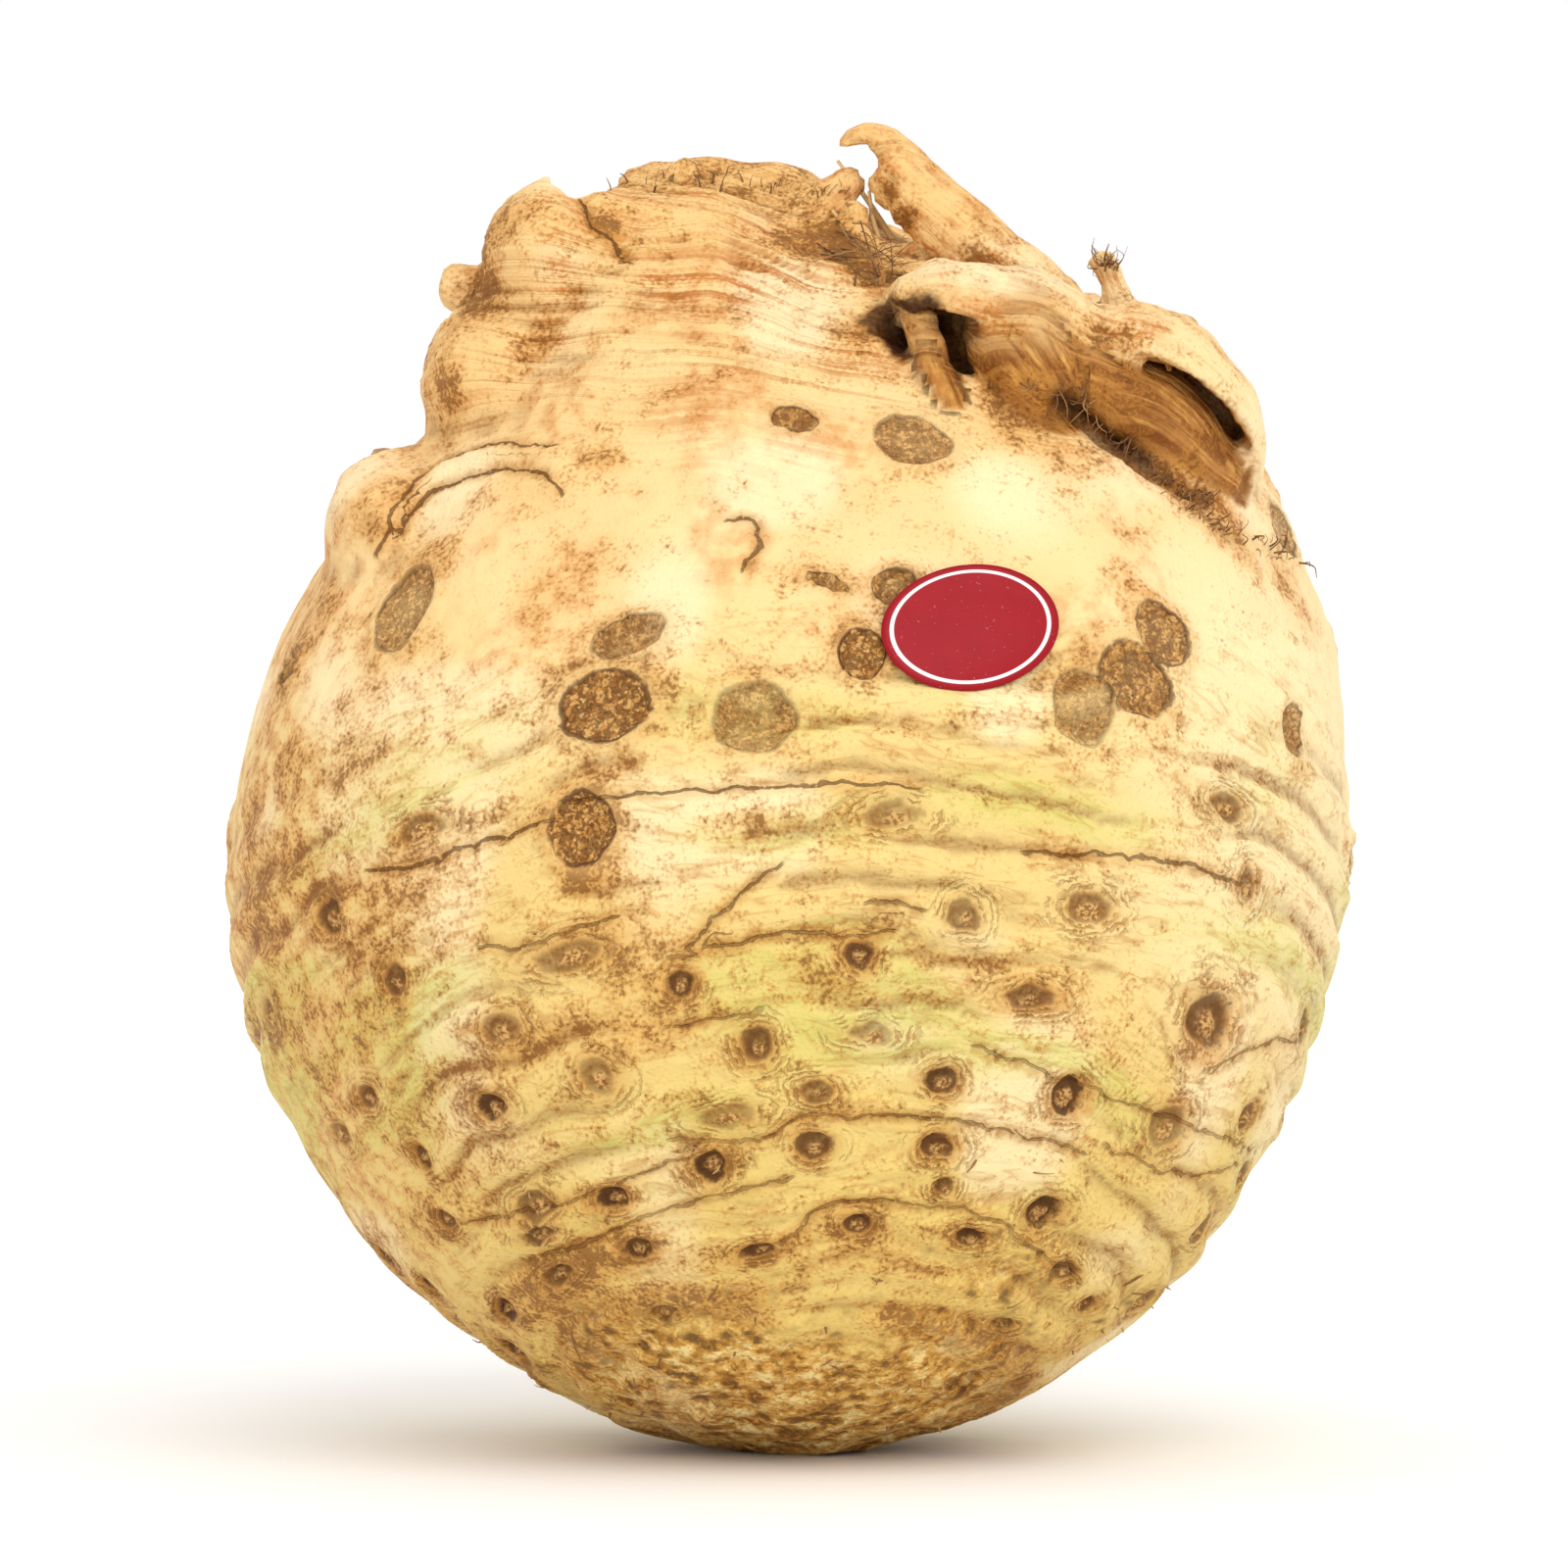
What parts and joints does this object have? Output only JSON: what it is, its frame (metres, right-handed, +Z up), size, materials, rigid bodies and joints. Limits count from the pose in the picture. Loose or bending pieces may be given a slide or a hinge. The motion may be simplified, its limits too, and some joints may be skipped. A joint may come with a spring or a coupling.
{
  "type": "celeriac root",
  "caption": "Whole trimmed celeriac root: a round knobbly bulb with ringed root scars, torn leaf bases on top and a plain oval sticker, leaning back on a small flat spot.",
  "frame": {"origin": "on the floor, at the middle of the small flat spot the root stands on", "axes": "+Z up, +X to the right as seen from the front, -Y towards the front, where the root end points down and forward"},
  "size_m": [0.1253, 0.1201, 0.1471],
  "materials": {
    "root_skin": "matte, corky skin of a root vegetable",
    "sticker_film": "coated paper"
  },
  "bodies": {
    "root": {"celeriac_root": "root_skin", "produce_sticker": "sticker_film"}
  },
  "joints": []
}
